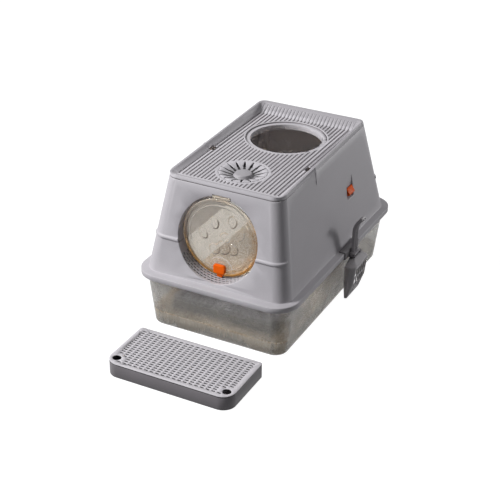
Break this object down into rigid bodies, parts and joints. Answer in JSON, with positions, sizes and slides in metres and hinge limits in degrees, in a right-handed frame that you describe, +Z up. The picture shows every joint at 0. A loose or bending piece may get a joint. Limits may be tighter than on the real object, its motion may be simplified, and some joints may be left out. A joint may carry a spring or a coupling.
{
  "type": "top entry litter box",
  "caption": "Enclosed cat litter box with a top entry hole, a swinging front flap, a lift-off hood and grooved top panel, a vent with filter, a side scoop and a loose sifting step.",
  "frame": {"origin": "centre of the pan's underside, on the floor", "axes": "+Z up, +X to the right seen from the door, -Y is the door end"},
  "size_m": [0.3914, 0.768, 0.357],
  "materials": {
    "pan_plastic": "smoky translucent polypropylene",
    "hood_plastic": "fine grained polypropylene",
    "panel_plastic": "fine grained polypropylene, lighter grey",
    "dark_plastic": "satin dark grey plastic",
    "orange_plastic": "glossy orange plastic",
    "flap_plastic": "milky translucent plastic",
    "litter": "grains of clay litter",
    "filter_felt": "carbon felt",
    "steel": "bright steel wire"
  },
  "bodies": {
    "base": {"litter_pan": "pan_plastic", "litter_bed": "litter"},
    "hood": {"hood": "hood_plastic", "door_hinge_pin": "steel", "side_latch_pins": "steel", "scoop_holder": "dark_plastic"},
    "top_panel": {"top_panel": "panel_plastic", "entry_ring": "panel_plastic", "filter_cup": "hood_plastic", "carbon_filter": "filter_felt"},
    "vent_cap": {"vent_cap": "panel_plastic"},
    "door_flap": {"door_flap": "flap_plastic"},
    "door_latch": {"door_latch_knob": "orange_plastic", "door_latch_retainer": "orange_plastic"},
    "side_latch_left": {"side_latch_left": "orange_plastic"},
    "side_latch_right": {"side_latch_right": "orange_plastic"},
    "inner_step": {"inner_step_tray": "dark_plastic"},
    "inner_grid": {"inner_step_grid": "panel_plastic"},
    "outer_step": {"outer_step_tray": "dark_plastic"},
    "outer_grid": {"outer_step_grid": "panel_plastic"},
    "scoop": {"litter_scoop": "dark_plastic"}
  },
  "joints": [
    {"name": "hood_lift", "type": "slide", "parent": "base", "child": "hood", "axis": [0, 0, 1], "range_m": [0, 0.3]},
    {"name": "top_panel_lift", "type": "slide", "parent": "hood", "child": "top_panel", "axis": [0, 0, 1], "range_m": [0, 0.25]},
    {"name": "vent_cap_twist", "type": "hinge", "parent": "top_panel", "child": "vent_cap", "pos_m": [0, -0.1385, 0.34], "axis": [0, 0, 1], "range_deg": [0, 30]},
    {"name": "door_swing", "type": "hinge", "parent": "hood", "child": "door_flap", "pos_m": [0, -0.232, 0.319], "axis": [1, 0, 0], "range_deg": [-75, 75]},
    {"name": "door_latch_turn", "type": "hinge", "parent": "door_flap", "child": "door_latch", "pos_m": [0, -0.234, 0.158], "axis": [0, 1, 0], "range_deg": [0, 90]},
    {"name": "side_latch_left_pull", "type": "hinge", "parent": "hood", "child": "side_latch_left", "pos_m": [-0.14569, 0.085, 0.2435], "axis": [0, 1, 0], "range_deg": [0, 35]},
    {"name": "side_latch_right_pull", "type": "hinge", "parent": "hood", "child": "side_latch_right", "pos_m": [0.14569, 0.085, 0.2435], "axis": [0, -1, 0], "range_deg": [0, 35]},
    {"name": "inner_step_lift", "type": "slide", "parent": "base", "child": "inner_step", "axis": [0, 0, 1], "range_m": [0, 0.06]},
    {"name": "inner_grid_lift", "type": "slide", "parent": "inner_step", "child": "inner_grid", "axis": [0, 0, 1], "range_m": [0, 0.06]},
    {"name": "outer_step_lift", "type": "slide", "parent": "base", "child": "outer_step", "axis": [0, 0, 1], "range_m": [0, 0.2]},
    {"name": "outer_grid_lift", "type": "slide", "parent": "outer_step", "child": "outer_grid", "axis": [0, 0, 1], "range_m": [0, 0.1]},
    {"name": "scoop_unhook", "type": "slide", "parent": "hood", "child": "scoop", "axis": [1, 0, 0], "range_m": [0, 0.12]}
  ]
}
